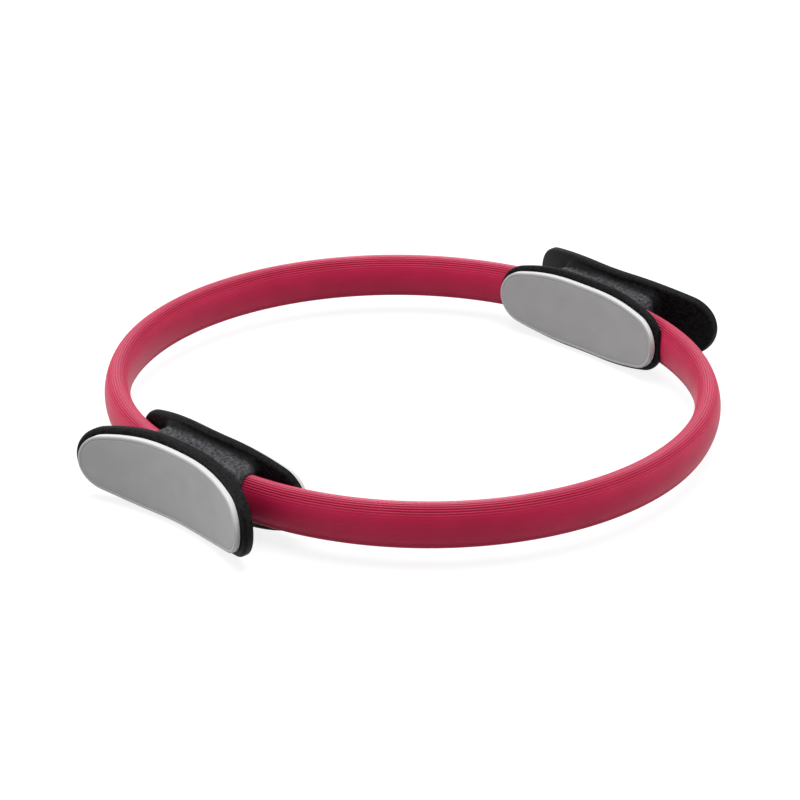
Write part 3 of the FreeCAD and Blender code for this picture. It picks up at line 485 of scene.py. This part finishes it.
def make_pad(name, form, side):
    """A closed pad for the handle on that side of the hoop, in loops from its back to its face."""
    length, height = form["length"], form["height"]
    pad = bmesh.new()
    rims = pad.verts.layers.float.new("rim")

    def ring(points, rise, highlight_share):
        """One loop of the pad's skin at a height over its back, bowed as the flange is."""
        loop = []
        for x, z in points:
            y = form["axis"] + form["bow"] * math.sqrt((form["back_radius"] - rise) ** 2 - x**2)
            vert = pad.verts.new((side * x, side * y, z + hoop_middle))
            # Share of the painted highlight on the edge at this loop.
            vert[rims] = highlight_share
            loop.append(vert)
        return loop

    full = pad_outline(length, height, 0)
    face_rise = pad_thickness - pad_crown
    loops = [ring([(x * share, z * share) for x, z in full], 0, 0) for share in back_shares]
    loops += [ring(full, 0, 1), ring(full, (face_rise - edge_round) / 2, 1)]
    for i in range(edge_steps + 1):
        lean = math.pi / 2 * i / edge_steps
        inset, rise = edge_round * (1 - math.cos(lean)), face_rise - edge_round * (1 - math.sin(lean))
        loops.append(ring(pad_outline(length, height, inset), rise, max(least_highlight, 1 - i / highlight_steps)))
    for place_across, sunk, highlight_share in crease_steps:
        face = pad_outline(length, height, crease_inset + crease_width * place_across)
        loops.append(ring(face, face_rise - crease_depth * sunk, highlight_share))
    for share in face_shares:
        rise = pad_thickness - pad_crown * share**crown_power
        loops.append(ring([(x * share, z * share) for x, z in face], rise, 0))
    for inner, outer in zip(loops, loops[1:]):
        for i in range(len(inner)):
            j = (i + 1) % len(inner)
            pad.faces.new((inner[i], inner[j], outer[j], outer[i]))
    for loop, rise in ((loops[0], 0), (loops[-1], pad_thickness)):
        centre = ring([(0, 0)], rise, 0)[0]
        for i in range(len(loop)):
            pad.faces.new((loop[i], loop[(i + 1) % len(loop)], centre))
    bmesh.ops.recalc_face_normals(pad, faces=pad.faces)
    mesh = bpy.data.meshes.new(name)
    pad.to_mesh(mesh)
    pad.free()
    mesh.shade_smooth()
    mesh.set_sharp_from_angle(angle=math.radians(50))
    mesh.materials.append(foam)
    return new_piece(name, mesh)


for handle, side in handle_side.items():
    for where, form in pad_forms.items():
        piece = make_pad(f"{handle}_{where}_foam_pad", form, side)
        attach(piece, f"{handle}_grip")
        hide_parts(f"{handle}_{where}_pad")
        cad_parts[f"{handle}_{where}_pad_film"].data.materials[0] = adhesive


# Fasteners.
# Four steel screws in each handle, sunk under the inner pad, draw the shells together, and two steel rivets
# hold the bands. All are turned or headed from wire and zinc-plated.

zinc_dark, zinc_bright = (0.55, 0.55, 0.56), (0.68, 0.68, 0.69)

zinc, tree, shader = new_finish("zinc_plated_steel", Metallic=1.0)
place = add_node(tree, "ShaderNodeTexCoord").outputs["Object"]
crystals = speckle(tree, place, scale=900, detail=3)
feed(
    tree, shader, tones(tree, spread(tree, crystals, low=0, high=1), zinc_dark, zinc_bright),
    roughness=spread(tree, crystals, low=0.28, high=0.42), height=crystals, depth=0.00004,
)
for handle in handle_side:
    for fasteners in ("shell_screws", "band_rivets"):
        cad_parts[f"{handle}_{fasteners}"].data.materials[0] = zinc


# Studio.
# A white floor under a large soft box, with a soft box on each side, so that the faces turned to the camera
# stay the deepest in tone, as in a product photograph.

view_azimuth, view_elevation = math.radians(45.19), math.radians(24.95)
view_distance = 1.8408
hoop_centre = Vector((0, 0, hoop_middle))
to_camera = Vector((
    math.sin(view_azimuth) * math.cos(view_elevation),
    -math.cos(view_azimuth) * math.cos(view_elevation),
    math.sin(view_elevation),
))
view_right = Vector((math.cos(view_azimuth), math.sin(view_azimuth), 0))
to_front = Vector((math.sin(view_azimuth), -math.cos(view_azimuth), 0))

camera = bpy.data.objects.new("camera", bpy.data.cameras.new("camera"))
bpy.context.scene.collection.objects.link(camera)
camera.location = hoop_centre + to_camera * view_distance
camera.rotation_mode = "QUATERNION"
camera.rotation_quaternion = to_camera.to_track_quat("Z", "Y")
camera.data.sensor_width, camera.data.lens = 36, 136.76
camera.data.shift_x, camera.data.shift_y = -0.01399, -0.01381
camera.data.clip_end = 100
bpy.context.scene.camera = camera

top_height, top_lead = 5.2, 0.2  # over the floor, and towards the camera
side_reach, side_height = 1.3, 0.55


def soft_box(name, place, size, power):
    """A square soft box that faces the hoop."""
    lamp = bpy.data.lights.new(name, "AREA")
    lamp.shape, lamp.size, lamp.size_y, lamp.energy = "RECTANGLE", size, size, power
    box = bpy.data.objects.new(name, lamp)
    bpy.context.scene.collection.objects.link(box)
    box.location = place
    box.rotation_mode = "QUATERNION"
    box.rotation_quaternion = (Vector(place) - hoop_centre).to_track_quat("Z", "Y")


soft_box("top_box", to_front * top_lead + Vector((0, 0, top_height)), size=4.8, power=376)
soft_box("left_box", view_right * -side_reach + Vector((0, 0, side_height)), size=0.9, power=8.5)
soft_box("right_box", view_right * side_reach + Vector((0, 0, side_height)), size=0.9, power=5.5)


def seen_rays(tree):
    """1 for rays by which the camera sees a thing, straight on, mirrored or through glass."""
    rays = add_node(tree, "ShaderNodeLightPath").outputs
    mirrored = calc(tree, "MAXIMUM", rays["Is Glossy Ray"], rays["Is Transmission Ray"])
    return calc(tree, "MAXIMUM", rays["Is Camera Ray"], mirrored)


# The room is white where it is seen, and dim as a light.
world = bpy.data.worlds.new("white_room")
bpy.context.scene.world = world
world.use_nodes = True
tree = world.node_tree
tree.nodes.clear()
room_light = add_node(tree, "ShaderNodeBackground", {"Color": (1, 1, 1, 1), "Strength": 0.15}).outputs[0]
white = add_node(tree, "ShaderNodeBackground", {"Color": (1, 1, 1, 1), "Strength": 1.0}).outputs[0]
room = add_node(tree, "ShaderNodeMixShader", {0: seen_rays(tree), 1: room_light, 2: white}).outputs[0]
add_node(tree, "ShaderNodeOutputWorld", {"Surface": room})

# The paper is white where it is seen, but for the object's shadow, and gives half of its light back.
paper = bpy.data.materials.new("white_paper")
paper.use_nodes = True
tree = paper.node_tree
tree.nodes.clear()
bounce = add_node(tree, "ShaderNodeBsdfDiffuse", {"Color": (0.5, 0.5, 0.5, 1)}).outputs[0]
glow = add_node(tree, "ShaderNodeEmission", {"Color": (1, 1, 1, 1), "Strength": 0.84}).outputs[0]
shaded = add_node(tree, "ShaderNodeBsdfDiffuse", {"Color": (0.22, 0.22, 0.22, 1)}).outputs[0]
seen = add_node(tree, "ShaderNodeAddShader", {0: glow, 1: shaded}).outputs[0]
surface = add_node(tree, "ShaderNodeMixShader", {0: seen_rays(tree), 1: bounce, 2: seen}).outputs[0]
add_node(tree, "ShaderNodeOutputMaterial", {"Surface": surface})

floor_reach = 6.0
floor_mesh = bpy.data.meshes.new("floor")
floor_mesh.from_pydata(
    [(-floor_reach, -floor_reach, 0), (floor_reach, -floor_reach, 0),
     (floor_reach, floor_reach, 0), (-floor_reach, floor_reach, 0)],
    [], [(0, 1, 2, 3)],
)
floor_mesh.materials.append(paper)
new_piece("floor", floor_mesh)
bpy.context.scene.view_settings.view_transform = "Standard"
